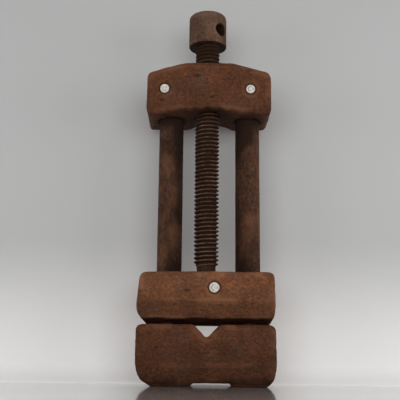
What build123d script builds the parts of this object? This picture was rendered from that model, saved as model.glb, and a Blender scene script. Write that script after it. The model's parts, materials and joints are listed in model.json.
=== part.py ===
from build123d import *
from math import atan, cos, degrees, radians, sin, tan
import os

# Guide-rod screw clamp, in millimetres. +Z is up, X runs across the jaws and
# the front is -Y. The origin is on the surface that the clamp stands on, under
# the axis of the screw. The jaws are closed in this pose.

# --- Driving dimensions -------------------------------------------------------

block_depth = 31.0  # front to back, the same for all three forged blocks
corner_radius = 1.6  # of the upright corners of the blocks
jaw_width = 67.0
running_gap = 0.08  # radial, where one piece slides or turns in another
fixed_gap = 0.02  # radial, where a piece is riveted or pinned in place
closed_gap = 0.2  # left between faces that meet when the clamp is closed

# Guide rods: half-inch bar, shouldered and riveted into the fixed jaw.
rod_radius = 6.35
rod_xs = (-18.6, 20.9)
rod_names = ("guide_rod_left", "guide_rod_right")
spigot_radius = 4.75
rivet_radius = 6.2
rivet_depth = 1.8

# Fixed jaw: the base block, with a V notch on top and a recess underneath.
fixed_height = 29.0
notch_x = 0.4
notch_depth = 6.0
notch_floor = 1.4  # width of its blunt bottom
notch_wall_angle = 47.0  # of each wall, above the horizontal
notch_edge_radius = 3.0
recess_x = 2.55
recess_width = 20.1
recess_height = 1.7
recess_wall_angle = 55.0

# Moving jaw: slides on both rods, and holds the tip of the screw.
moving_bottom = fixed_height + closed_gap
moving_height = 25.0
moving_top = moving_bottom + moving_height

# Crosshead: tapped for the screw, and pinned to the tops of the rods.
crosshead_x = 0.6
crosshead_width = 63.5
crosshead_bottom = 134.1
crosshead_top = 161.4
arch_x = 1.8
arch_width = 24.0
arch_rise = 3.4
scoop_x = -1.5
scoop_width = 45.0
scoop_rise = 2.8  # at the front face
scoop_depth = 9.5  # from the front face to where it runs out
rod_top = 153.5
rod_hole_top = 154.0
crosshead_pin_radius = 2.38
crosshead_pin_z = 147.1
crosshead_pin_xs = (-21.9, 21.8)
crosshead_pin_names = ("crosshead_pin_left", "crosshead_pin_right")

# Screw: half-inch, 12 threads to the inch, right-handed, with a drilled head. Its
# thread is simplified to rings of the thread's own profile, one to each pitch, and
# the tapped hole to a plain bore outside them.
screw_radius = 6.35
pitch = 25.4 / 12
thread_turns = 55
thread_bottom = 58.2
root_radius = screw_radius - 0.64 * pitch
crest_flat = 0.3 * pitch
root_flat = 0.2 * pitch
thread_gap = 0.2  # radial, between the screw and the tapped hole
head_radius = 10.0
head_bottom = 175.4
head_top = 193.5
head_round = 2.0
head_bevel = 0.4
tommy_radius = 3.3
tommy_z = 183.5
tommy_turn = 46.0  # degrees, from the front towards +X
tip_radius = 4.75
tip_bottom = 41.6
tip_bevel = 0.8

# Retaining pin: crosses the moving jaw and runs in a groove in the screw's tip.
retainer_x = 3.9
retainer_z = 46.5
retainer_radius = 1.6
retainer_head_radius = 2.6
retainer_head_depth = 1.0
groove_gap = 0.2

os.makedirs("parts", exist_ok=True)


# --- Shared construction -----------------------------------------------------


def rounded_outline(plane, corners):
    """Closed sketch of (x, y, corner radius) points on a plane."""
    with BuildSketch(plane) as outline:
        with BuildLine():
            FilletPolyline(
                *[(x, y) for x, y, radius in corners],
                radius=[radius for x, y, radius in corners],
                close=True,
            )
        make_face()
    return outline.sketch


def forged_block(front, end, centre_x, width):
    """Block with the front outline, end outline and width given."""
    with BuildPart() as block:
        extrude(rounded_outline(Plane.XZ, front), amount=block_depth, both=True)
        extrude(
            rounded_outline(Plane.YZ, end), amount=width, both=True, mode=Mode.INTERSECT
        )
        with BuildSketch(Plane.XY):
            with Locations((centre_x, 0)):
                RectangleRounded(width, block_depth, corner_radius)
        extrude(amount=crosshead_top, mode=Mode.INTERSECT)
    return block.part


def headed_pin(radius, head_radius, head_depth):
    """Half outline of a pin whose ends are peened out into countersinks."""
    half_length = block_depth / 2
    return (
        (0, half_length),
        (head_radius, half_length),
        (radius, half_length - head_depth),
        (radius, head_depth - half_length),
        (head_radius, -half_length),
        (0, -half_length),
    )


# --- Fixed jaw ---------------------------------------------------------------

jaw_side = jaw_width / 2
block_face = block_depth / 2
notch_half_floor = notch_floor / 2
notch_half_mouth = notch_half_floor + notch_depth / tan(radians(notch_wall_angle))
notch_bottom = fixed_height - notch_depth
recess_half_foot = recess_width / 2
recess_half_roof = recess_half_foot - recess_height / tan(radians(recess_wall_angle))

# Clockwise from the left foot: left end, top with its V notch, right end, right
# foot, then the recess that parts the two feet.
fixed_front = (
    (-25.8, 0, 2.0),
    (-30.6, 2.8, 3.0),
    (-32.5, 6.2, 4.0),
    (-jaw_side, 12.0, 6.0),
    (-jaw_side, fixed_height, 2.6),
    (notch_x - notch_half_mouth, fixed_height, 3.0),
    (notch_x - notch_half_floor, notch_bottom, 0.4),
    (notch_x + notch_half_floor, notch_bottom, 0.4),
    (notch_x + notch_half_mouth, fixed_height, 3.0),
    (jaw_side, fixed_height, 3.0),
    (jaw_side, 11.0, 8.0),
    (32.5, 3.6, 2.5),
    (29.4, 0, 2.0),
    (recess_x + recess_half_foot, 0, 0.4),
    (recess_x + recess_half_roof, recess_height, 0.4),
    (recess_x - recess_half_roof, recess_height, 0.4),
    (recess_x - recess_half_foot, 0, 0.4),
)
fixed_end = (
    (-11.8, 0, 1.0),
    (-13.0, 1.1, 1.0),
    (-block_face, 9.9, 2.0),
    (-block_face, fixed_height, 0.8),
    (block_face, fixed_height, 0.8),
    (block_face, 9.9, 2.0),
    (13.0, 1.1, 1.0),
    (11.8, 0, 1.0),
)
fixed_block = forged_block(fixed_front, fixed_end, 0, jaw_width)

with BuildPart() as fixed_jaw:
    add(fixed_block)

    # Rod holes, countersunk underneath for the riveted ends.
    for rod_x in rod_xs:
        with Locations((rod_x, 0, 0)):
            Hole(spigot_radius + fixed_gap)
            Cone(
                rivet_radius + fixed_gap,
                spigot_radius + fixed_gap,
                rivet_depth,
                align=(Align.CENTER, Align.CENTER, Align.MIN),
                mode=Mode.SUBTRACT,
            )

fixed_jaw.part.label = "fixed_jaw"
export_step(fixed_jaw.part, "parts/fixed_jaw.step")


# --- Guide rods --------------------------------------------------------------

for rod_name, rod_x, pin_x in zip(rod_names, rod_xs, crosshead_pin_xs):
    with BuildPart() as guide_rod:
        with BuildSketch(Plane.XZ):
            with BuildLine():
                Polyline(
                    (rod_x, 0),
                    (rod_x + rivet_radius, 0),
                    (rod_x + spigot_radius, rivet_depth),
                    (rod_x + spigot_radius, fixed_height),
                    (rod_x + rod_radius, fixed_height),
                    (rod_x + rod_radius, rod_top),
                    (rod_x, rod_top),
                    close=True,
                )
            make_face()
        revolve(axis=Axis((rod_x, 0, 0), (0, 0, 1)))
        chamfer(guide_rod.edges().sort_by(Axis.Z)[-1], 0.8)
        with BuildSketch(Plane.XZ):
            with Locations((pin_x, crosshead_pin_z)):
                Circle(crosshead_pin_radius + fixed_gap)
        extrude(amount=block_depth, both=True, mode=Mode.SUBTRACT)
    guide_rod.part.label = rod_name
    export_step(guide_rod.part, f"parts/{rod_name}.step")


# --- Moving jaw --------------------------------------------------------------

# Clockwise from the lower left corner, which is cut back further than the right.
moving_front = (
    (-28.8, moving_bottom, 0.6),
    (-33.3, moving_bottom + 5.4, 2.5),
    (-jaw_side, moving_bottom + 9.5, 8.0),
    (-32.2, moving_top, 3.4),
    (33.1, moving_top, 3.0),
    (jaw_side, moving_bottom + 9.5, 8.0),
    (33.4, moving_bottom + 5.0, 2.5),
    (31.3, moving_bottom, 0.6),
)
moving_end = (
    (-4.5, moving_bottom, 0.5),
    (-12.7, moving_bottom + 2.6, 0.4),
    (-block_face, moving_bottom + 10.8, 1.5),
    (-block_face, moving_top, 0.8),
    (block_face, moving_top, 0.8),
    (block_face, moving_bottom + 10.8, 1.5),
    (14.2, moving_bottom, 0.5),
)
moving_block = forged_block(moving_front, moving_end, 0, jaw_width)
tip_bore_bottom = tip_bottom - closed_gap

with BuildPart() as moving_jaw:
    add(moving_block)

    # Guide holes for the rods.
    with Locations(*[(rod_x, 0, 0) for rod_x in rod_xs]):
        Hole(rod_radius + running_gap)

    # Blind bore from the top, whose floor takes the thrust of the screw.
    with BuildSketch(Plane.XY.offset(tip_bore_bottom)):
        Circle(tip_radius + running_gap)
    extrude(amount=moving_height, mode=Mode.SUBTRACT)

    # Hole for the retaining pin, countersunk at both faces.
    retainer_outline = headed_pin(
        retainer_radius + fixed_gap, retainer_head_radius + fixed_gap, retainer_head_depth
    )
    with BuildSketch(Plane.XY.offset(retainer_z)):
        with BuildLine():
            Polyline(*[(retainer_x + x, y) for x, y in retainer_outline], close=True)
        make_face()
    revolve(axis=Axis((retainer_x, 0, retainer_z), (0, 1, 0)), mode=Mode.SUBTRACT)

moving_jaw.part.label = "moving_jaw"
export_step(moving_jaw.part, "parts/moving_jaw.step")


# --- Crosshead ---------------------------------------------------------------

crosshead_left = crosshead_x - crosshead_width / 2
crosshead_right = crosshead_x + crosshead_width / 2
crosshead_front = (
    (crosshead_left + 0.8, crosshead_bottom, 1.2),
    (crosshead_left, crosshead_bottom + 4.0, 2.0),
    (crosshead_left, 155.6, 3.6),
    (-12.0, crosshead_top, 4.0),
    (12.2, crosshead_top, 4.0),
    (crosshead_right, 156.0, 3.6),
    (crosshead_right, crosshead_bottom + 4.0, 2.0),
    (crosshead_right - 0.8, crosshead_bottom, 1.2),
)
crosshead_end = (
    (-block_face, crosshead_bottom, 0.9),
    (-block_face, crosshead_top, 1.0),
    (block_face, crosshead_top, 1.0),
    (block_face, crosshead_bottom, 0.9),
)
crosshead_block = forged_block(
    crosshead_front, crosshead_end, crosshead_x, crosshead_width
)
arch_radius = (arch_width**2 / 4 + arch_rise**2) / (2 * arch_rise)
scoop_radius = (scoop_width**2 / 4 + scoop_rise**2) / (2 * scoop_rise)

with BuildPart() as crosshead:
    add(crosshead_block)

    # Shallow arch underneath, between the rods.
    with BuildSketch(Plane.XZ):
        with Locations((arch_x, crosshead_bottom + arch_rise - arch_radius)):
            Circle(arch_radius)
    extrude(amount=block_depth, both=True, mode=Mode.SUBTRACT)

    # Wider scoop along its front edge, which runs out towards the back.
    with BuildSketch(Plane.XZ.offset(block_face)):
        with Locations((scoop_x, crosshead_bottom + scoop_rise - scoop_radius)):
            Circle(scoop_radius)
    extrude(
        amount=-scoop_depth,
        taper=degrees(atan(scoop_rise / scoop_depth)),
        mode=Mode.SUBTRACT,
    )

    # Blind holes for the rods.
    with BuildSketch(Plane.XY.offset(rod_hole_top)):
        with Locations(*[(rod_x, 0) for rod_x in rod_xs]):
            Circle(rod_radius + fixed_gap)
    extrude(amount=crosshead_bottom - rod_hole_top, mode=Mode.SUBTRACT)

    # Cross holes for the two pins that lock the rods.
    with BuildSketch(Plane.XZ):
        with Locations(*[(pin_x, crosshead_pin_z) for pin_x in crosshead_pin_xs]):
            Circle(crosshead_pin_radius + fixed_gap)
    extrude(amount=block_depth, both=True, mode=Mode.SUBTRACT)

    # Tapped hole.
    with Locations((0, 0, crosshead_top)):
        Hole(screw_radius + thread_gap)

crosshead.part.label = "crosshead"
export_step(crosshead.part, "parts/crosshead.step")

for pin_name, pin_x in zip(crosshead_pin_names, crosshead_pin_xs):
    with BuildPart() as crosshead_pin:
        with BuildSketch(Plane.XZ):
            with Locations((pin_x, crosshead_pin_z)):
                Circle(crosshead_pin_radius)
        extrude(amount=block_face, both=True)
    crosshead_pin.part.label = pin_name
    export_step(crosshead_pin.part, f"parts/{pin_name}.step")


# --- Screw -------------------------------------------------------------------

tommy_axis = Axis((0, 0, tommy_z), (sin(radians(tommy_turn)), -cos(radians(tommy_turn)), 0))
groove_radius = retainer_x - retainer_radius - running_gap
groove_half_width = retainer_radius + groove_gap
flank_rise = (pitch - crest_flat - root_flat) / 2

# Half outline of the shank, from the tip up to the underside of the head.
shank_outline = [
    (0, tip_bottom),
    (tip_radius - tip_bevel, tip_bottom),
    (tip_radius, tip_bottom + tip_bevel),
    (tip_radius, retainer_z - groove_half_width),
    (groove_radius, retainer_z - groove_half_width),
    (groove_radius, retainer_z + groove_half_width),
    (tip_radius, retainer_z + groove_half_width),
    (tip_radius, thread_bottom),
]
for turn in range(thread_turns):
    ring_bottom = thread_bottom + turn * pitch
    shank_outline += [
        (root_radius, ring_bottom),
        (screw_radius, ring_bottom + flank_rise),
        (screw_radius, ring_bottom + flank_rise + crest_flat),
        (root_radius, ring_bottom + flank_rise + crest_flat + flank_rise),
    ]
shank_outline += [(root_radius, head_bottom + head_bevel), (0, head_bottom + head_bevel)]

with BuildPart() as screw:
    # Drilled head.
    with BuildSketch(Plane.XY.offset(head_bottom)):
        Circle(head_radius)
    extrude(amount=head_top - head_bottom)
    fillet(screw.faces().sort_by(Axis.Z)[-1].edges(), head_round)
    chamfer(screw.faces().sort_by(Axis.Z)[0].edges(), head_bevel)
    with Locations(Plane(origin=tommy_axis.position, z_dir=tommy_axis.direction)):
        Hole(tommy_radius)

    # Threaded shank and plain tip.
    with BuildSketch(Plane.XZ):
        with BuildLine():
            Polyline(*shank_outline, close=True)
        make_face()
    revolve(axis=Axis.Z)

screw.part.label = "screw"
export_step(screw.part, "parts/screw.step")


# --- Screw retaining pin -----------------------------------------------------

with BuildPart() as screw_retaining_pin:
    pin_outline = headed_pin(retainer_radius, retainer_head_radius, retainer_head_depth)
    with BuildSketch(Plane.XY.offset(retainer_z)):
        with BuildLine():
            Polyline(*[(retainer_x + x, y) for x, y in pin_outline], close=True)
        make_face()
    revolve(axis=Axis((retainer_x, 0, retainer_z), (0, 1, 0)))

screw_retaining_pin.part.label = "screw_retaining_pin"
export_step(screw_retaining_pin.part, "parts/screw_retaining_pin.step")
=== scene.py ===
"""Looks of a rusted guide-rod screw clamp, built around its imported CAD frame.

Every forged piece is a remeshed copy of its CAD node, worn and pitted in mesh
code. The screw's thread is a grid whose radius follows the helix. Lengths are
in metres, and MM turns millimetres into them.
"""

import json
from itertools import product
from math import cos, pi, radians, sin

import bmesh
import bpy
import numpy as np
from mathutils import Matrix, Vector


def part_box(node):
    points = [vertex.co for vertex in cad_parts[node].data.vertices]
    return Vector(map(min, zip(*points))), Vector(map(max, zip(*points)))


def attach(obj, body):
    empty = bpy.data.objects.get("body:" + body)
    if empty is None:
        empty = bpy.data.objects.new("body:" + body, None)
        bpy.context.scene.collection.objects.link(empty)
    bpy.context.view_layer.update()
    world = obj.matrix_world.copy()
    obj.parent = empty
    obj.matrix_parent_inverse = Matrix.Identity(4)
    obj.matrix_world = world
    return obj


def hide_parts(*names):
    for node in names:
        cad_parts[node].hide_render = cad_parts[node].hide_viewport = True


MM = 0.001

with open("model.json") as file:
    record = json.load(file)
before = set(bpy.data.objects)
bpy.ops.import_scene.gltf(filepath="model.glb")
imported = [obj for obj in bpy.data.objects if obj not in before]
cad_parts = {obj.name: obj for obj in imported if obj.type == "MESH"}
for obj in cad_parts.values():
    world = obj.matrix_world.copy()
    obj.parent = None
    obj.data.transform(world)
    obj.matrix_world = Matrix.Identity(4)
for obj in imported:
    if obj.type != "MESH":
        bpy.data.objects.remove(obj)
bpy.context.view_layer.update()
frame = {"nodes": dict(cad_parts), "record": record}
SCENE = bpy.context.scene


# --- Repeatable noise --------------------------------------------------------

# Whole numbers that scramble a lattice cell's place into a value.
AXIS_FACTORS = (374761393, 668265263, 1103515245)
SEED_FACTOR = 974634777
HASH_ROUNDS = ((13, 1274126177), (16, 69069))
LAST_SHIFT = 15
WORD = 0xFFFFFFFF

# Radius of a pit, in cells: the least, and how much larger it may be.
PIT_LEAST, PIT_SPREAD = 0.25, 0.35


def smooth(share):
    """Ease a share from 0 to 1, level at both ends."""
    return share * share * (3 - 2 * share)


def ramp(values, low, high):
    """0 below low, 1 above high, and smooth between them."""
    return smooth(np.clip((values - low) / (high - low), 0, 1))


def lattice(cells, seed):
    """A repeatable value from 0 to 1 for each whole-number lattice cell."""
    mixed = seed * SEED_FACTOR
    for axis, factor in enumerate(AXIS_FACTORS):
        mixed = mixed + cells[:, axis] * factor
    mixed &= WORD
    for shift, factor in HASH_ROUNDS:
        mixed = ((mixed ^ (mixed >> shift)) * factor) & WORD
    return (mixed ^ (mixed >> LAST_SHIFT)) / WORD


def value_noise(points, size, seed):
    """Smooth noise from -1 to 1 whose lumps are about size across."""
    scaled_points = points / size
    base = np.floor(scaled_points).astype(np.int64)
    part = smooth(scaled_points - base)
    total = np.zeros(len(points))
    for corner in product((0, 1), repeat=3):
        weight = np.prod(np.where(corner, part, 1 - part), axis=1)
        total += weight * lattice(base + corner, seed)
    return total * 2 - 1


def fractal(points, size, octaves, seed):
    """Several octaves of value_noise, each half as large and half as deep."""
    total = np.zeros(len(points))
    for octave in range(octaves):
        total += value_noise(points, size / 2**octave, seed + octave) / 2**octave
    return total


def pits(points, size, share, seed):
    """Round pits from 0 to 1 deep, in a share of the cells of a size."""
    scaled_points = points / size
    base = np.floor(scaled_points).astype(np.int64)
    deepest = np.zeros(len(points))
    for step in product((-1, 0, 1), repeat=3):
        cell = base + step
        centre = cell + np.stack([lattice(cell, seed + axis) for axis in range(3)], 1)
        chance = lattice(cell, seed + 3)
        radius = PIT_LEAST + PIT_SPREAD * lattice(cell, seed + 4)
        reach = np.linalg.norm(scaled_points - centre, axis=1) / radius
        depth = np.clip(1 - reach**2, 0, 1) ** 1.5
        deepest = np.maximum(deepest, np.where(chance < share, depth, 0))
    return deepest


def stretched(points, x, y, z):
    """Points scaled along each axis, so that noise on them comes out drawn."""
    return points * np.array((x, y, z))


# --- Mesh helpers ------------------------------------------------------------


def new_piece(name, mesh):
    """Object for a mesh, linked to the scene and shaded smooth."""
    piece = bpy.data.objects.new(name, mesh)
    SCENE.collection.objects.link(piece)
    mesh.shade_smooth()
    return piece


def new_mesh(name, vertices, faces):
    """Mesh made of lists of vertices and faces."""
    mesh = bpy.data.meshes.new(name)
    mesh.from_pydata(vertices, [], faces)
    mesh.update()
    return mesh


def apply_modifiers(piece):
    """Bake the modifiers of a piece into its mesh."""
    graph = bpy.context.evaluated_depsgraph_get()
    mesh = bpy.data.meshes.new_from_object(piece.evaluated_get(graph))
    old = piece.data
    piece.modifiers.clear()
    piece.data = mesh
    mesh.name = piece.name
    bpy.data.meshes.remove(old)
    mesh.shade_smooth()


def even_copy(name, node, voxel):
    """Copy of a CAD node, remeshed into even quads of about voxel."""
    piece = new_piece(name, frame["nodes"][node].data.copy())
    piece.data.materials.clear()
    remesh = piece.modifiers.new("Even quads", "REMESH")
    remesh.mode = "VOXEL"
    remesh.voxel_size = voxel
    apply_modifiers(piece)
    return piece


def read_vectors(items, name):
    """One row of three numbers for each of a mesh's items."""
    values = np.zeros(len(items) * 3)
    items.foreach_get(name, values)
    return values.reshape(-1, 3)


def read_points(mesh):
    """Places of a mesh's vertices, one to a row."""
    return read_vectors(mesh.vertices, "co")


def read_normals(mesh):
    """Normals at a mesh's vertices, one to a row."""
    return read_vectors(mesh.vertex_normals, "vector")


def read_edges(mesh):
    """The two vertices of each edge, one edge to a row."""
    edges = np.zeros(len(mesh.edges) * 2, np.int64)
    mesh.edges.foreach_get("vertices", edges)
    return edges.reshape(-1, 2)


def write_points(mesh, points):
    """Move a mesh's vertices to new places."""
    mesh.vertices.foreach_set("co", points.astype(np.float32).ravel())
    mesh.update()


def write_value(mesh, name, values):
    """Store one number for each vertex, for the materials to read."""
    attribute = mesh.attributes.get(name) or mesh.attributes.new(name, "FLOAT", "POINT")
    attribute.data.foreach_set("value", values.astype(np.float32))


def read_value(mesh, name):
    """The numbers that write_value stored under a name."""
    values = np.zeros(len(mesh.vertices))
    mesh.attributes[name].data.foreach_get("value", values)
    return values


def relaxed(points, edges, rounds, strength=0.5):
    """Points moved towards the mean of their neighbours, round after round."""
    count = len(points)
    ends = np.concatenate([edges[:, 0], edges[:, 1]])
    others = np.concatenate([edges[:, 1], edges[:, 0]])
    degree = np.maximum(np.bincount(ends, minlength=count), 1)
    result = points.copy()
    for _ in range(rounds):
        for axis in range(3):
            total = np.bincount(ends, weights=result[others, axis], minlength=count)
            result[:, axis] += strength * (total / degree - result[:, axis])
    return result


def opened_bore(points, x, y, radius):
    """Points of a bore's wall moved out to one clean radius."""
    across = points[:, :2] - np.array((x, y))
    reach = np.linalg.norm(across, axis=1)
    out = np.where(reach < radius, radius / np.maximum(reach, 1e-6), 1)
    result = points.copy()
    result[:, :2] = np.array((x, y)) + across * out[:, None]
    return result


# --- Weathering, painted shade and highlights --------------------------------

# Rounds of relaxing that show where a mesh is convex.
EDGE_ROUNDS = 70

# Size of each kind of wear.
CHIP_SIZE = 9 * MM
LUMP_SIZE = 15 * MM
RIPPLE_SIZE = 3.5 * MM
STREAK_SIZE = 1.6 * MM
DENT_SIZE = 7 * MM

# Size of each kind of pit, and the share of the places that has one.
HOLLOW = (2.2 * MM, 0.22)
SPECK = (1.2 * MM, 0.40)
NICK = (2.6 * MM, 0.035)

# Darkening on a block: fade grows down its sides and foot is on its lowest part;
# facet_shade is painted shade on faces that lean down, and under is painted
# shade on its underside.
MID_DARKENING = {"fade": 0.18, "foot": 0.22, "facet_shade": 0.26, "under": 0.45}


def weather(
    piece,
    seed,
    lump=0.20,
    dent=0.35,
    pitting=0.22,
    chipping=0.8,
    streak=0.07,
    soften=5,
    darkening=MID_DARKENING,
):
    """Wear, lumps and rust pits over a forged piece, its darkening, and its painted shade and
    highlights.

    lump, dent, pitting and streak are depths in millimetres, chipping is a
    share, and soften is how many rounds of relaxing round the edges off.
    """
    mesh = piece.data
    points, edges, normals = read_points(mesh), read_edges(mesh), read_normals(mesh)
    soft = relaxed(points, edges, soften)
    softer = relaxed(soft, edges, EDGE_ROUNDS)
    convex = ((points - softer) * normals).sum(1) / MM
    chipped = ramp(fractal(points, CHIP_SIZE, 3, seed), 0.05, 0.75) * chipping
    worn = ramp(convex, 0.06, 0.45)
    share = (0.35 * worn + 0.65 * worn * chipped)[:, None]
    shaped = soft * (1 - share) + softer * share

    hollows = pits(points, *HOLLOW, seed + 20)
    specks = pits(points, *SPECK, seed + 30)
    nicks = pits(stretched(points, 0.5, 1, 1), *NICK, seed + 35)
    height = lump * fractal(points, LUMP_SIZE, 3, seed + 40)
    height += 0.35 * lump * fractal(points, RIPPLE_SIZE, 2, seed + 50)
    height += streak * fractal(stretched(points, 0.12, 1, 1), STREAK_SIZE, 2, seed + 60)
    height -= dent * ramp(fractal(points, DENT_SIZE, 2, seed + 70), 0.75, 1.4)
    height -= pitting * np.maximum(hollows, 0.6 * specks) + 2 * pitting * nicks
    shaped += normals * (height * MM)[:, None]
    shaped[:, 2] = np.maximum(shaped[:, 2], 0)
    # Worn edges, and, with this low threshold, a painted highlight along shallow ridges such as
    # bevels.
    write_value(mesh, "wear_and_highlight", ramp(convex, 0.02, 0.10))
    write_value(mesh, "pits_and_shade", np.maximum(np.maximum(0.5 * hollows, 0.4 * specks), nicks))
    write_value(mesh, "dirt_and_shade", block_dirt_and_shade(points, normals, seed + 80, **darkening))
    write_points(mesh, shaped)


def block_dirt_and_shade(points, normals, seed, fade, foot, facet_shade, under):
    """Darkening from 0 to 1 towards a block's bottom, and painted shade on faces that lean down.
    """
    low, high = points[:, 2].min(), points[:, 2].max()
    depth = (high - points[:, 2]) / (high - low) + 0.10 * fractal(points, 8 * MM, 3, seed)
    dirt_and_shade = fade * ramp(depth, 0.10, 0.65) + foot * ramp(depth, 0.80, 1.0)
    # Painted shade: faces that lean down are darkened as if lit only from above.
    down = ramp(-normals[:, 2], 0.36, 0.80)
    facing_down = facet_shade * ramp(-normals[:, 2], 0.10, 0.24) + under * down
    return np.clip(dirt_and_shade * (1 - 0.9 * down) + facing_down, 0, 1)


def pin_seat(piece, node, radius):
    """Flatten a block round a pin's ends, with a dark line just outside the pin."""
    flat_reach, skin, sunk = 1.6 * MM, 1.2 * MM, 0.12 * MM
    line_out, line_core, line_edge = 0.30 * MM, 0.3 * MM, 0.75 * MM
    mesh = piece.data
    low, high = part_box(node)
    centre = np.array(((low[0] + high[0]) / 2, (low[2] + high[2]) / 2))
    points = read_points(mesh)
    away = np.linalg.norm(points[:, (0, 2)] - centre, axis=1)
    near = 1 - ramp(away, radius, radius + flat_reach)
    near *= np.abs(points[:, 1]) > high[1] - skin
    face = np.sign(points[:, 1]) * (high[1] - sunk)
    points[:, 1] += near * (face - points[:, 1])
    write_points(mesh, points)
    line = near * ramp(-np.abs(away - radius - line_out), -line_edge, -line_core)
    write_value(mesh, "dirt_and_shade", np.maximum(read_value(mesh, "dirt_and_shade"), line))


# --- Forged blocks and rods --------------------------------------------------

GUIDE_RODS = ("guide_rod_left", "guide_rod_right")
FORGING_VOXEL = 0.4 * MM
ROD_VOXEL = 0.5 * MM
ROD_BORE_GAP = 0.3 * MM
SCREW_BORE_GAP = 0.4 * MM
ROD_PIN_RADIUS = 2.38 * MM
JAW_PIN_RADIUS = 2.6 * MM
SCREW_RADIUS = 6.35 * MM


def rod_axis(node):
    """Place and radius of an upright round node, from its box."""
    low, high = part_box(node)
    return (low[0] + high[0]) / 2, (low[1] + high[1]) / 2, (high[0] - low[0]) / 2


def fixed_jaw():
    """Base jaw with its V notch and feet, darkest at its foot."""
    piece = even_copy("fixed_jaw_forging", "fixed_jaw", FORGING_VOXEL)
    # Darker towards its foot, with painted shade on its underside and lower facets.
    weather(piece, seed=11, darkening={"fade": 0.34, "foot": 0.75, "facet_shade": 0.04, "under": 0.45})
    finish_piece(piece, "frame", "fixed_jaw", "forged_rust_dark")


def moving_jaw():
    """Sliding jaw, whose lower edges stay crisp, and whose front lip is notched."""
    crispness, notch_depth = 0.85, 0.35 * MM
    piece = even_copy("moving_jaw_forging", "moving_jaw", FORGING_VOXEL)
    sharp = read_points(piece.data)
    # Painted shade: a deep dark underside, as if in shadow over the fixed jaw.
    weather(piece, seed=112, darkening=MID_DARKENING | {"under": 0.90})
    points = read_points(piece.data)
    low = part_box("moving_jaw")[0]
    from_bottom = sharp[:, 2] - low[2]
    outward = ramp(np.abs(sharp[:, 1]), 8 * MM, 12 * MM)
    kept = crispness * outward * (1 - ramp(from_bottom, 3.4 * MM, 5 * MM))
    points += kept[:, None] * (sharp - points)
    notches = fractal(stretched(points, 1, 0, 0), 6 * MM, 4, seed=130)
    notched = np.minimum(notches, 0.9) - 0.15
    in_front = sharp[:, 1] < 0
    points[:, 2] += notch_depth * kept * in_front * notched
    for node in GUIDE_RODS:
        x, y, radius = rod_axis(node)
        points = opened_bore(points, x, y, radius + ROD_BORE_GAP)
    write_points(piece.data, points)
    pin_seat(piece, "screw_retaining_pin", JAW_PIN_RADIUS)
    finish_piece(piece, "sliding_jaw", "moving_jaw", "forged_rust_orange")


def crosshead():
    """Bridge over the rods, with a ragged lip in front of its arched underside."""
    ragged_depth = 0.45 * MM
    hanging_depth, hanging_middle, hanging_width = 0.9 * MM, 1.8 * MM, 4.5 * MM
    piece = even_copy("crosshead_forging", "crosshead", FORGING_VOXEL)
    # Painted shade on the underside, eased towards the outer ends below.
    weather(piece, seed=213, darkening=MID_DARKENING | {"under": 0.42})
    points = opened_bore(read_points(piece.data), 0, 0, SCREW_RADIUS + SCREW_BORE_GAP)
    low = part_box("crosshead")[0]
    from_front = points[:, 1] - low[1]
    from_bottom = points[:, 2] - low[2]
    lip = (1 - ramp(from_front, 1.5 * MM, 5 * MM)) * (1 - ramp(from_bottom, 3 * MM, 7 * MM))
    ragged = fractal(stretched(points, 1, 0, 0), 3.2 * MM, 3, seed=240) - 0.25
    points[:, 2] += lip * np.maximum(ragged_depth * ragged, low[2] - points[:, 2])
    hanging = np.exp(-(((points[:, 0] - hanging_middle) / hanging_width) ** 2))
    points[:, 2] -= hanging_depth * lip * hanging
    write_points(piece.data, points)
    write_value(piece.data, "dirt_and_shade", crosshead_dirt_and_shade(piece.data, points))
    for node in ("crosshead_pin_left", "crosshead_pin_right"):
        pin_seat(piece, node, ROD_PIN_RADIUS)
    finish_piece(piece, "frame", "crosshead", "forged_rust")


def crosshead_dirt_and_shade(mesh, points):
    """The crosshead's darkening: painted shade underneath, lifted towards the outer ends and
    darkest round the rods.
    """
    dirt_and_shade = read_value(mesh, "dirt_and_shade")
    down = ramp(-read_normals(mesh)[:, 2], 0.3, 0.7)
    low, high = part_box("crosshead")
    middle = (low[0] + high[0]) / 2
    # Painted light: the underside's shade is lifted towards the outer ends, as if lit from the
    # sides.
    dirt_and_shade *= 1 - 0.55 * down * ramp(np.abs(points[:, 0] - middle), 20 * MM, 30 * MM)
    # Painted shade: a dark ring on the underside round each rod.
    for node in GUIDE_RODS:
        x, y, radius = rod_axis(node)
        away = np.linalg.norm(points[:, :2] - np.array((x, y)), axis=1) - radius
        away += 1.5 * MM * fractal(points, 4 * MM, 3, seed=260)
        dirt_and_shade = np.maximum(dirt_and_shade, 0.95 * down * (1 - ramp(away, 0.5 * MM, 4.5 * MM)))
    return dirt_and_shade


def guide_rod(node, seed, darkening):
    """Round bar with painted shadow under the crosshead, darker at its lower end, and painted
    shade on the side that faces the screw.
    """
    piece = even_copy(f"{node}_bar", node, ROD_VOXEL)
    weather(piece, seed, lump=0.03, dent=0.0, pitting=0.06, chipping=0.3, streak=0.0)
    points = read_points(piece.data)
    height = points[:, 2]
    # Painted shadow under the crosshead at the top end; the lower end is just darker.
    ends = ramp(height, 104 * MM, 132 * MM) + 0.7 * ramp(-height, -80 * MM, -54 * MM)
    ends *= 1 - 0.5 * ramp(fractal(points, 7 * MM, 3, seed + 95), -0.3, 0.6)
    ends += 0.7 * ramp(height, 130 * MM, 133.5 * MM)
    patches = fractal(stretched(points, 1, 1, 0.5), 7 * MM, 4, seed + 90)
    blotches = 0.36 * ramp(patches, -0.1, 0.8)
    # Painted shade: the side that faces the screw is darkened.
    towards_screw = read_normals(piece.data)[:, 0] * -np.sign(points[:, 0])
    inner_side_shade = 0.52 * ramp(towards_screw, -0.45, 0.80)
    write_value(piece.data, "dirt_and_shade", np.clip(darkening + 0.8 * ends + blotches + inner_side_shade, 0, 1))
    finish_piece(piece, "frame", node, "rod_rust")


# --- Screw -------------------------------------------------------------------

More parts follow.
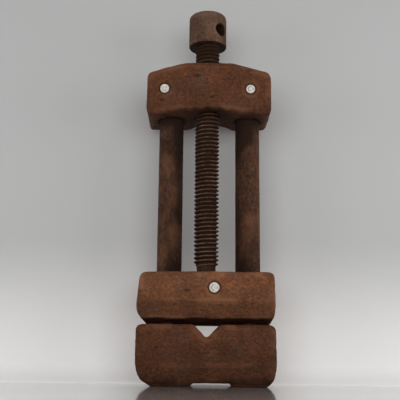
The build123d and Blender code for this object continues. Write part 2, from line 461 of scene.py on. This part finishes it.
# The coupling's ratio is one turn to each pitch, and the first mount is the hole
# in the head. THREAD_FLANK is where a flank starts and ends, as shares of the way
# from root to crest. The plain tip is chipped as if it were TIP_CREST of a crest.
PITCH = 2 * pi / frame["record"]["behaviour"]["couplings"][0]["ratio"]
TOMMY_HOLE = frame["record"]["mounts"][0]
THREAD_DEPTH = 0.60 * PITCH
THREAD_BOTTOM = 58.2 * MM
THREAD_FLANK = (0.10, 0.96)
THREAD_RUN_IN = 1.2
THREAD_IN_HEAD = 0.6 * MM
HEAD_BOTTOM = 175.4 * MM
HEAD_CUT_RISE = 0.02 * MM
HEAD_VOXEL = 0.3 * MM
TIP_RADIUS = 4.75 * MM
TIP_CHAMFER = 0.8 * MM
TIP_CREST = 0.35
GROOVE_RADIUS = 2.3 * MM
GROOVE_HALF_FLOOR = 1.7 * MM
GROOVE_HALF_MOUTH = 1.8 * MM
PLAIN_START = 2.4 * MM
PLAIN_STEP = 0.5 * MM
SCREW_ROUND_STEPS = 80
ROWS_PER_PITCH = 14


def turn_angles(round_steps):
    """Angles of the points round a lathe_grid's ring."""
    return np.arange(round_steps) * 2 * pi / round_steps


def lathe_grid(name, heights, radii):
    """Closed mesh of rings about Z; radii holds one row of radii per height."""
    round_steps = radii.shape[1]
    turn = turn_angles(round_steps)
    points = np.empty((len(heights), round_steps, 3))
    points[:, :, 0] = radii * np.cos(turn)
    points[:, :, 1] = radii * np.sin(turn)
    points[:, :, 2] = np.array(heights)[:, None]
    ends = [(0, 0, heights[0]), (0, 0, heights[-1])]
    vertices = np.concatenate([points.reshape(-1, 3), ends])
    faces = []
    for row in range(len(heights) - 1):
        for step in range(round_steps):
            here = row * round_steps + step
            beside = row * round_steps + (step + 1) % round_steps
            faces.append((here, beside, beside + round_steps, here + round_steps))
    bottom_centre = len(heights) * round_steps
    top_row = (len(heights) - 1) * round_steps
    for step in range(round_steps):
        beside = (step + 1) % round_steps
        faces.append((beside, step, bottom_centre))
        faces.append((top_row + step, top_row + beside, bottom_centre + 1))
    return new_mesh(name, vertices.tolist(), faces)


def tip_outline():
    """Heights and radii of the screw's plain tip, with the groove for its pin."""
    tip_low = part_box("screw")[0][2]
    pin_low, pin_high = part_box("screw_retaining_pin")
    groove_z = (pin_low[2] + pin_high[2]) / 2
    outline = [
        (tip_low, TIP_RADIUS - TIP_CHAMFER),
        (tip_low + TIP_CHAMFER, TIP_RADIUS),
        (groove_z - GROOVE_HALF_MOUTH, TIP_RADIUS),
        (groove_z - GROOVE_HALF_FLOOR, GROOVE_RADIUS),
        (groove_z + GROOVE_HALF_FLOOR, GROOVE_RADIUS),
        (groove_z + GROOVE_HALF_MOUTH, TIP_RADIUS),
    ]
    plain = np.arange(groove_z + PLAIN_START, THREAD_BOTTOM, PLAIN_STEP)
    return outline + [(z, TIP_RADIUS) for z in plain]


def thread_rings(heights):
    """Radii of a right-hand thread, and its crests from 0 to 1, ring by ring."""
    rise = heights[:, None] - THREAD_BOTTOM
    phase = (rise / PITCH - turn_angles(SCREW_ROUND_STEPS) / (2 * pi)) % 1
    crest = ramp(1 - np.abs(phase - 0.5) * 2, *THREAD_FLANK)
    radii = SCREW_RADIUS - THREAD_DEPTH * (1 - crest)
    return np.minimum(radii, TIP_RADIUS + rise * THREAD_RUN_IN), crest


def threaded_bar():
    """Grooved tip under a long thread, with painted shade on its flanks, roots and neck, and
    worn crests with a painted highlight.
    """
    tip = tip_outline()
    thread_top = HEAD_BOTTOM + THREAD_IN_HEAD
    thread_z = np.arange(THREAD_BOTTOM, thread_top, PITCH / ROWS_PER_PITCH)
    thread_radii, crest = thread_rings(thread_z)
    heights = np.concatenate([[z for z, _ in tip], thread_z])
    tip_radii = [np.full(SCREW_ROUND_STEPS, radius) for _, radius in tip]
    mesh = lathe_grid("screw_turned", heights, np.vstack([tip_radii, thread_radii]))

    tip_crest = np.full((len(tip), SCREW_ROUND_STEPS), TIP_CREST)
    end_crests = [0, 0]
    crest = np.concatenate([tip_crest.ravel(), crest.ravel(), end_crests])
    points, normals = read_points(mesh), read_normals(mesh)
    chips = ramp(fractal(points, 5 * MM, 3, seed=300), 0.35, 1.0)
    height = 0.05 * fractal(points, 2 * MM, 2, seed=310)
    height -= 0.05 * pits(points, 1.5 * MM, 0.3, seed=320)
    height -= 0.28 * chips * crest
    write_points(mesh, points + normals * (height * MM)[:, None])

    # Painted shadow: the thread darkens just under the head.
    under_head_shadow = ramp(points[:, 2], 163 * MM, 170 * MM)
    near_tip = ramp(-points[:, 2], -105 * MM, -65 * MM)
    # Painted highlight along each crest, partly wear, dulled by chips, under the head and
    # towards the tip.
    top = ramp(crest, 0.94, 1.0)
    dulled = (1 - 0.6 * chips) * (1 - 0.8 * under_head_shadow) * (1 - 0.45 * near_tip)
    write_value(mesh, "wear_and_highlight", top * dulled)
    # Painted shade: the thread's roots are darkened as if shaded.
    write_value(mesh, "pits_and_shade", 1 - ramp(crest, 0.0, 0.6))
    # Painted shade: everything but the crests is darkened, and the neck under the head.
    write_value(mesh, "dirt_and_shade", np.maximum(0.86 * (1 - top), 0.95 * under_head_shadow))
    return new_piece("screw_turned", mesh)


def screw_head():
    """Head cut off the CAD screw, with painted shade in its cross hole, underneath and on its
    left side.
    """
    head = even_copy("screw_head", "screw", HEAD_VOXEL)
    cut_below(head, HEAD_BOTTOM + HEAD_CUT_RISE)
    wear = {"lump": 0.05, "dent": 0.1, "pitting": 0.10, "chipping": 0.5, "streak": 0.02}
    weather(head, seed=330, soften=3, **wear)
    mesh = head.data
    points, normals = read_points(mesh), read_normals(mesh)
    axis = np.array(TOMMY_HOLE["axis"])
    bore = TOMMY_HOLE["dims"]["r_mm"] * MM
    from_hole = points - np.array(TOMMY_HOLE["pos_m"])
    off_axis = np.linalg.norm(from_hole - (from_hole @ axis)[:, None] * axis, axis=1)
    # Painted shade inside the cross hole.
    hole_shade = 1 - ramp(off_axis, bore + 0.15 * MM, bore + 0.55 * MM)
    # Painted shade on the underside.
    under = ramp(-normals[:, 2], 0.3, 0.8)
    stain_and_left_shade = 0.34 + 0.22 * ramp(fractal(points, 7 * MM, 3, seed=345), -0.2, 0.8)
    # Painted shade: the left side is darkened as if it got less light.
    stain_and_left_shade += 0.18 * ramp(-points[:, 0], 0, 9 * MM)
    write_value(mesh, "dirt_and_shade", np.maximum(stain_and_left_shade, np.maximum(hole_shade, under)))
    write_value(mesh, "pits_and_shade", 0.4 * read_value(mesh, "pits_and_shade"))
    write_value(mesh, "wear_and_highlight", 0.5 * read_value(mesh, "wear_and_highlight"))
    return head


def screw():
    """The turned head and the threaded bar, as one piece."""
    piece = threaded_bar()
    join_meshes(piece, screw_head())
    finish_piece(piece, "screw", "screw", "screw_rust")


def cut_below(piece, height):
    """Remove what is below a height, and close the cut."""
    work = bmesh.new()
    work.from_mesh(piece.data)
    geometry = [*work.verts, *work.edges, *work.faces]
    cut = bmesh.ops.bisect_plane(
        work, geom=geometry, plane_co=(0, 0, height), plane_no=(0, 0, 1), clear_inner=True
    )
    rim = [item for item in cut["geom_cut"] if isinstance(item, bmesh.types.BMEdge)]
    bmesh.ops.contextual_create(work, geom=rim)
    work.to_mesh(piece.data)
    work.free()
    piece.data.shade_smooth()


def join_meshes(piece, other):
    """Join the mesh of other into piece."""
    with bpy.context.temp_override(
        active_object=piece, object=piece, selected_editable_objects=[piece, other]
    ):
        bpy.ops.object.join()


# --- Pins --------------------------------------------------------------------

PIN_DOME = 0.12 * MM
PIN_BEVEL = 0.30 * MM
PIN_EDGE = 0.1 * MM
PIN_MARKS = 1.6 * MM
PIN_MARK_DEPTH = 0.04 * MM
DOME_STEPS = 16
PIN_ROUND_STEPS = 48


def pin(name, node, body, seed, rim=0.0):
    """Cross pin with filed, slightly domed ends; rim widens its ends."""
    low, high = (np.array(corner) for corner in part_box(node))
    centre, half = (low + high) / 2, (high - low) / 2
    end_radius, half_length = half[0], half[1]
    end_foot = half_length - PIN_DOME - PIN_BEVEL
    outline = [(end_foot - rim, end_radius - rim), (end_foot, end_radius)]
    for step in range(DOME_STEPS):
        radius = (end_radius - PIN_EDGE) * (1 - step / DOME_STEPS)
        outline.append((half_length - PIN_DOME * (radius / end_radius) ** 2, radius))
    outline = [(-z, radius) for z, radius in reversed(outline)] + outline
    heights = [z for z, _ in outline]
    radii = np.array([[radius] * PIN_ROUND_STEPS for _, radius in outline])
    mesh = lathe_grid(name, heights, radii)
    points = read_points(mesh)
    marks = PIN_MARK_DEPTH * fractal(points, PIN_MARKS, 2, seed)
    points += read_normals(mesh) * marks[:, None]
    points = stretched(points[:, (0, 2, 1)], 1, -1, 1) + centre
    write_points(mesh, points)

    from_axis = np.linalg.norm(points[:, (0, 2)] - centre[[0, 2]], axis=1)
    ring = ramp(-np.abs(from_axis - 0.52 * end_radius), -0.42 * MM, -0.12 * MM)
    ring *= ramp(fractal(points, 1.5 * MM, 2, seed + 5), -0.7, 0.5)
    rim_dark = ramp(from_axis, 0.80 * end_radius, 0.98 * end_radius)
    write_value(mesh, "pits_and_shade", np.maximum(ring, rim_dark))
    finish_piece(new_piece(name, mesh), body, node, "filed_pin")


# --- Materials ---------------------------------------------------------------


class Shader:
    """A material's node tree, with short calls for the nodes used here."""

    def __init__(self, name):
        self.material = bpy.data.materials.new(name)
        self.material.use_nodes = True
        self.tree = self.material.node_tree
        self.surface = self.tree.nodes["Principled BSDF"]
        self.place = self.node("ShaderNodeTexCoord").outputs["Object"]

    def node(self, kind, inputs=None, **settings):
        """New node with its settings and inputs filled in."""
        made = self.tree.nodes.new(kind)
        for key, value in settings.items():
            setattr(made, key, value)
        for key, value in (inputs or {}).items():
            self.put(value, made.inputs[key])
        return made

    def put(self, value, socket):
        """Link an output to a socket, or set the socket's own value."""
        if isinstance(value, bpy.types.NodeSocket):
            self.tree.links.new(value, socket)
        else:
            socket.default_value = value

    def set_surface(self, **values):
        """Fill in the surface's inputs; an underscore stands for a space."""
        for name, value in values.items():
            self.put(value, self.surface.inputs[name.replace("_", " ")])

    def drawn(self, scale):
        """Object coordinates scaled along each axis."""
        mapping = self.node("ShaderNodeMapping", {"Vector": self.place, "Scale": scale})
        return mapping.outputs["Vector"]

    def noise(self, size, detail=3.0, roughness=0.55, place=None):
        """Noise from 0 to 1 whose features are about size millimetres."""
        inputs = {
            "Vector": place or self.place,
            "Scale": 1 / (size * MM),
            "Detail": detail,
            "Roughness": roughness,
        }
        return self.node("ShaderNodeTexNoise", inputs).outputs["Fac"]

    def between(self, value, low, high, start=0.0, end=1.0):
        """Value remapped smoothly from low..high to start..end."""
        inputs = {0: value, 1: low, 2: high, 3: start, 4: end}
        made = self.node("ShaderNodeMapRange", inputs, interpolation_type="SMOOTHSTEP")
        return made.outputs[0]

    def times(self, first, second):
        """Product of two values."""
        made = self.node("ShaderNodeMath", {0: first, 1: second}, operation="MULTIPLY")
        return made.outputs[0]

    def mix(self, factor, first, second):
        """Colour that goes from first to second as the factor goes from 0 to 1."""
        made = self.node("ShaderNodeMix", data_type="RGBA")
        for key, value in {0: factor, 6: first, 7: second}.items():
            self.put(value, made.inputs[key])
        return made.outputs[2]

    def stored(self, name):
        """A number stored on the mesh."""
        return self.node("ShaderNodeAttribute", attribute_name=name).outputs["Fac"]

    def bump(self, height, depth, under=None):
        """Bump of a depth in millimetres, over another bump's normal."""
        inputs = {"Height": height, "Strength": 1.0, "Distance": depth * MM}
        if under is not None:
            inputs["Normal"] = under
        return self.node("ShaderNodeBump", inputs).outputs["Normal"]


def rgb(red, green, blue):
    """Opaque colour, in linear light."""
    return (red, green, blue, 1.0)


def scaled(colour, shares):
    """Colour with its red, green and blue scaled."""
    return rgb(*(channel * share for channel, share in zip(colour, shares)))


def rust(name, tones, along=(0.6, 1, 1), grain=0.24, wear=0.75, hollow=0.66, spots=0.54):
    """Rusted iron: mottled and streaked browns, dark at pits, stains and painted shade.

    along stretches the streaks, grain is the bump's depth in millimetres, and
    wear, hollow and spots are how strongly edges, pits and spots show; edges
    carry painted highlights and pits carry painted shade as well.
    """
    dark, middle, light, fresh, grey = tones
    # Near-black tone for stains, pits and painted shade.
    dirt_and_shade_tone = scaled(dark, (0.22, 0.24, 0.27))
    scorched = scaled(dark, (0.55, 0.55, 0.60))
    dust_tone = rgb(0.30, 0.25, 0.21)
    shader = Shader(name)

    # Each pattern's noise: its size in millimetres, detail, roughness and stretch.
    streaked = shader.drawn(along)
    half_drawn = shader.drawn(tuple(value**0.4 for value in along))
    blotch = shader.between(shader.noise(12, 4, 0.6), 0.36, 0.66)
    streak = shader.between(shader.noise(1.1, 3, 0.6, streaked), 0.32, 0.70)
    speckle = shader.between(shader.noise(1.1, 4, 0.7, half_drawn), 0.34, 0.62)
    fleck = shader.between(shader.noise(0.7, 2, 0.5, half_drawn), 0.58, 0.70)
    mottle = shader.between(shader.noise(4.0, 5, 0.75), 0.48, 0.66)
    orange = shader.between(shader.noise(5.0, 5, 0.70), 0.51, 0.68)
    ashen = shader.between(shader.noise(8.5, 4, 0.64), 0.50, 0.72)
    dust = shader.between(shader.noise(0.42, 1, 0.5), 0.70, 0.76)
    # Lighter at worn edges, including the painted highlights on ridges and thread crests.
    rubbed_and_highlight = shader.times(shader.stored("wear_and_highlight"), shader.between(blotch, 0.2, 1))

    # Each layer's share, from 0 to 1, and the tone that it lays over those before it.
    colour = shader.mix(blotch, dark, middle)
    layers = (
        (shader.times(streak, 0.42), light),
        (shader.times(orange, 0.62), fresh),
        (shader.times(ashen, 0.62), grey),
        (shader.times(mottle, 0.42), dark),
        (shader.times(fleck, 0.8 * spots), light),
        (shader.between(speckle, 0, 1, spots, 0.0), scorched),
        # Dark in pits, and painted shade in the screw's thread roots.
        (shader.between(shader.stored("pits_and_shade"), 0.1, 0.9, 0.0, hollow), dirt_and_shade_tone),
        (shader.times(rubbed_and_highlight, wear), light),
        (shader.times(dust, 0.35), dust_tone),
        # Stains and soiling, and the painted shade and shadow that the pieces store with them.
        (shader.times(shader.stored("dirt_and_shade"), 0.92), dirt_and_shade_tone),
    )
    for share, tone in layers:
        colour = shader.mix(share, colour, tone)

    coarse = shader.bump(shader.noise(1.6, 3, 0.6), grain * 2)
    ridged = shader.bump(streak, grain * 0.8, coarse)
    shader.set_surface(
        Base_Color=colour,
        Roughness=shader.between(speckle, 0, 1, 0.84, 0.62),
        Specular_IOR_Level=0.12,
        Normal=shader.bump(shader.noise(0.5, 2, 0.6), grain * 0.6, ridged),
    )
    return shader.material


def bright_metal(name):
    """Filed soft metal: pale grey, with faint marks and a rust stain at its rim."""
    shader = Shader(name)
    marks = shader.between(shader.noise(0.9, 3, 0.6), 0.35, 0.75)
    ring = shader.between(shader.stored("pits_and_shade"), 0.1, 0.9, 0.0, 0.7)
    stain = shader.between(shader.noise(2.6, 3, 0.6), 0.52, 0.72, 0.0, 0.45)
    colour = shader.mix(marks, rgb(0.78, 0.74, 0.68), rgb(0.60, 0.56, 0.51))
    colour = shader.mix(ring, colour, rgb(0.24, 0.22, 0.20))
    colour = shader.mix(stain, colour, rgb(0.40, 0.27, 0.20))
    shader.set_surface(
        Base_Color=colour,
        Roughness=shader.between(marks, 0, 1, 0.42, 0.6),
        Specular_IOR_Level=0.5,
        Normal=shader.bump(shader.noise(0.5, 3, 0.6), 0.05),
    )
    return shader.material


# Five tones to a rust: dark, middle, light, fresh and grey.
FORGED_TONES = (
    rgb(0.096, 0.038, 0.019),
    rgb(0.146, 0.053, 0.024),
    rgb(0.205, 0.084, 0.040),
    rgb(0.238, 0.084, 0.032),
    rgb(0.122, 0.080, 0.050),
)
ROD_TONES = (
    rgb(0.062, 0.031, 0.020),
    rgb(0.110, 0.048, 0.026),
    rgb(0.155, 0.070, 0.038),
    rgb(0.205, 0.076, 0.030),
    rgb(0.085, 0.060, 0.050),
)
SCREW_TONES = (
    rgb(0.095, 0.042, 0.022),
    rgb(0.150, 0.068, 0.036),
    rgb(0.325, 0.208, 0.160),
    rgb(0.175, 0.080, 0.043),
    rgb(0.110, 0.082, 0.060),
)


def forged_rust(name, shares):
    """The forged blocks' rust, with its red, green and blue scaled."""
    return rust(name, [scaled(tone, shares) for tone in FORGED_TONES])


MATERIALS = {
    "forged_rust": forged_rust("forged_rust", (0.99, 1.02, 1.12)),
    "forged_rust_orange": forged_rust("forged_rust_orange", (1.51, 1.57, 1.64)),
    "forged_rust_dark": forged_rust("forged_rust_dark", (0.88, 0.90, 0.98)),
    "rod_rust": rust("rod_rust", ROD_TONES, along=(1, 1, 0.30), grain=0.10, spots=0.65),
    "screw_rust": rust(
        "screw_rust",
        SCREW_TONES,
        along=(1, 1, 1),
        grain=0.06,
        wear=1.0,
        hollow=0.97,
        spots=0.15,
    ),
    "filed_pin": bright_metal("filed_pin"),
}


def finish_piece(piece, body, node, material):
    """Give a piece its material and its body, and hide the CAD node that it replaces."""
    piece.data.materials.clear()
    piece.data.materials.append(MATERIALS[material])
    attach(piece, body)
    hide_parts(node)


# --- Stage, light and camera -------------------------------------------------

FLOOR_REACH = 3.0
BACKDROP_START = 17 * MM
BACKDROP_BEND = 10 * MM
BACKDROP_HEIGHT = 1.6
BACKDROP_LIFT = 0.02 * MM
BEND_STEPS = 32

# Each light's name, place, target, size and power in watts.
MIDDLE = (0, 0, 0.10)
LIGHTS = (
    ("front", (0, -0.50, 0.13), MIDDLE, (0.56, 0.22), 1.38),
    ("left", (-0.46, -0.18, 0.12), MIDDLE, (0.40, 0.20), 0.52),
    ("right", (0.46, -0.18, 0.12), MIDDLE, (0.40, 0.20), 0.78),
    ("rear_fill", (0, 0.60, 0.44), MIDDLE, (0.60, 0.40), 2.2),
    ("behind_base", (0, 16.4 * MM, 26 * MM), (0, 40 * MM, 30 * MM), (0.055, 0.012), 0.0014),
)

# The world is pale to the camera and in reflections, and dim as light.
WORLD_SEEN = 0.55
WORLD_AS_LIGHT = 0.05

CAMERA_PLACE = (-3.4 * MM, -363 * MM, 15.3 * MM)
CAMERA_PITCH = 102
CAMERA_ROLL = 0.55
CAMERA_LENS = 65.1
CAMERA_SENSOR = 36


def floor_board():
    """Smooth pale board, glossy enough to mirror the clamp at a low angle."""
    shader = Shader("floor_board")
    shader.set_surface(
        Base_Color=rgb(0.49, 0.486, 0.48),
        Roughness=0.30,
        Specular_IOR_Level=0.5,
        Coat_Weight=1.0,
        Coat_Roughness=0.07,
    )
    return shader.material


def backdrop_board():
    """Matt board painted paler towards its foot as if lit from above, and see-through from
    behind.
    """
    shader = Shader("backdrop_board")
    height = shader.node("ShaderNodeSeparateXYZ", {"Vector": shader.place}).outputs["Z"]
    # Painted light: the board is paler near its foot, where light from above would fall on the
    # curve.
    share = shader.between(height, 15 * MM, 80 * MM)
    colour = shader.mix(share, rgb(0.98, 0.97, 0.96), rgb(0.60, 0.602, 0.60))
    shader.set_surface(Base_Color=colour, Roughness=0.9, Specular_IOR_Level=0.1)
    behind = shader.node("ShaderNodeNewGeometry").outputs["Backfacing"]
    clear = shader.node("ShaderNodeBsdfTransparent").outputs[0]
    front = shader.surface.outputs[0]
    both = shader.node("ShaderNodeMixShader", {0: behind, 1: front, 2: clear})
    shader.put(both.outputs[0], shader.tree.nodes["Material Output"].inputs["Surface"])
    return shader.material


def build_stage():
    """Pale floor, and a backdrop that curves up close behind the clamp."""
    reach = FLOOR_REACH
    corners = [(-reach, -reach, 0), (reach, -reach, 0), (reach, reach, 0), (-reach, reach, 0)]
    floor = new_piece("floor", new_mesh("floor", corners, [(0, 1, 2, 3)]))
    floor.data.materials.append(floor_board())
    outline = []
    for step in range(BEND_STEPS + 1):
        angle = radians(90) * step / BEND_STEPS
        y = BACKDROP_START + BACKDROP_BEND * sin(angle)
        outline.append((y, BACKDROP_LIFT + BACKDROP_BEND * (1 - cos(angle))))
    outline.append((BACKDROP_START + BACKDROP_BEND, BACKDROP_HEIGHT))
    vertices = [(side * reach, y, z) for y, z in outline for side in (-1, 1)]
    faces = [(2 * row, 2 * row + 1, 2 * row + 3, 2 * row + 2) for row in range(len(outline) - 1)]
    backdrop = new_piece("backdrop", new_mesh("backdrop", vertices, faces))
    backdrop.data.materials.append(backdrop_board())
    backdrop.visible_shadow = False


def area_light(name, place, target, size, power):
    """Soft rectangle of light that the camera and reflections don't show."""
    data = bpy.data.lights.new(name, "AREA")
    data.shape = "RECTANGLE"
    data.size, data.size_y = size
    data.energy = power
    light = bpy.data.objects.new(name, data)
    SCENE.collection.objects.link(light)
    light.location = place
    light.rotation_euler = (Vector(target) - Vector(place)).to_track_quat("-Z", "Y").to_euler()
    light.visible_camera = False
    light.visible_glossy = False


def build_light():
    """Soft panels in front, at the sides and behind, in a pale room."""
    for light in LIGHTS:
        area_light(*light)
    world = bpy.data.worlds.new("Soft room")
    world.use_nodes = True
    background = world.node_tree.nodes["Background"]
    background.inputs["Color"].default_value = rgb(1.0, 0.995, 0.985)
    path = world.node_tree.nodes.new("ShaderNodeLightPath")
    strength = world.node_tree.nodes.new("ShaderNodeMapRange")
    strength.inputs["To Min"].default_value = WORLD_SEEN
    strength.inputs["To Max"].default_value = WORLD_AS_LIGHT
    world.node_tree.links.new(path.outputs["Is Diffuse Ray"], strength.inputs["Value"])
    world.node_tree.links.new(strength.outputs["Result"], background.inputs["Strength"])
    SCENE.world = world


def build_camera():
    """Low camera in front, tilted up at the clamp."""
    data = bpy.data.cameras.new("camera")
    data.sensor_width = CAMERA_SENSOR
    data.lens = CAMERA_LENS
    data.clip_start = 0.01
    camera = bpy.data.objects.new("camera", data)
    SCENE.collection.objects.link(camera)
    pitch = Matrix.Rotation(radians(CAMERA_PITCH), 4, "X")
    roll = Matrix.Rotation(radians(CAMERA_ROLL), 4, "Z")
    camera.matrix_world = Matrix.Translation(CAMERA_PLACE) @ pitch @ roll
    SCENE.camera = camera


# --- Build -------------------------------------------------------------------

build_camera()
build_light()
build_stage()
SCENE.view_settings.view_transform = "Standard"

fixed_jaw()
moving_jaw()
crosshead()
guide_rod("guide_rod_left", seed=401, darkening=0.10)
guide_rod("guide_rod_right", seed=502, darkening=0.0)
screw()
pin("crosshead_pin_left_peened", "crosshead_pin_left", "frame", seed=601)
pin("crosshead_pin_right_peened", "crosshead_pin_right", "frame", seed=611)
pin("screw_retaining_pin_peened", "screw_retaining_pin", "sliding_jaw", seed=621, rim=1.0 * MM)
